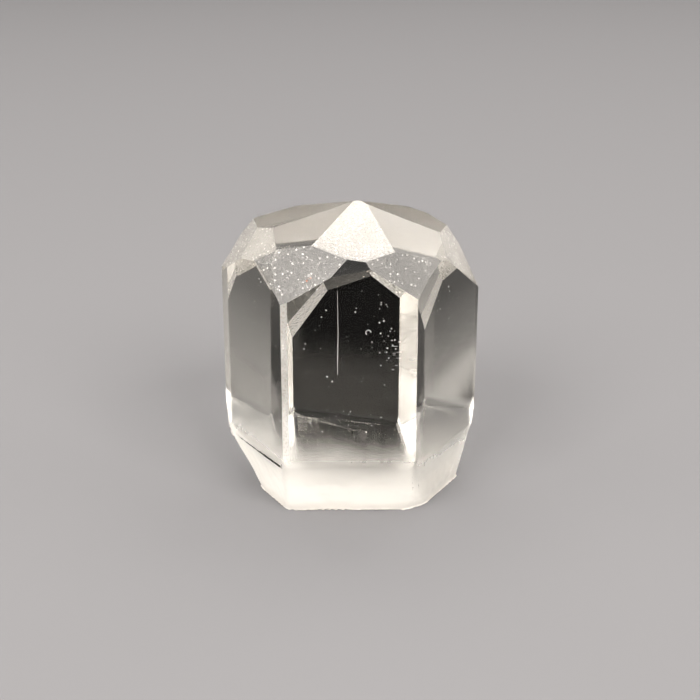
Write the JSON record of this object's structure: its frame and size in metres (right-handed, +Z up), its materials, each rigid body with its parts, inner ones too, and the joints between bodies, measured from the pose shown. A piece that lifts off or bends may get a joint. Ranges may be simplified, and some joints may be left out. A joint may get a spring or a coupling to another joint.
{
  "type": "phenakite crystal",
  "caption": "Clear colourless phenakite crystal, a short hexagonal prism with a low faceted top and a rough narrowed lower end, standing on its flat break.",
  "frame": {"origin": "middle of the flat broken base", "axes": "+Z up along the prism's axis, -Y out of the broad front prism face, +X to the right seen from the front"},
  "size_m": [0.009, 0.0086, 0.0104],
  "materials": {
    "phenakite": "polished natural faces, frosted lower end"
  },
  "bodies": {
    "root": {"phenakite_crystal": "phenakite"}
  },
  "joints": []
}
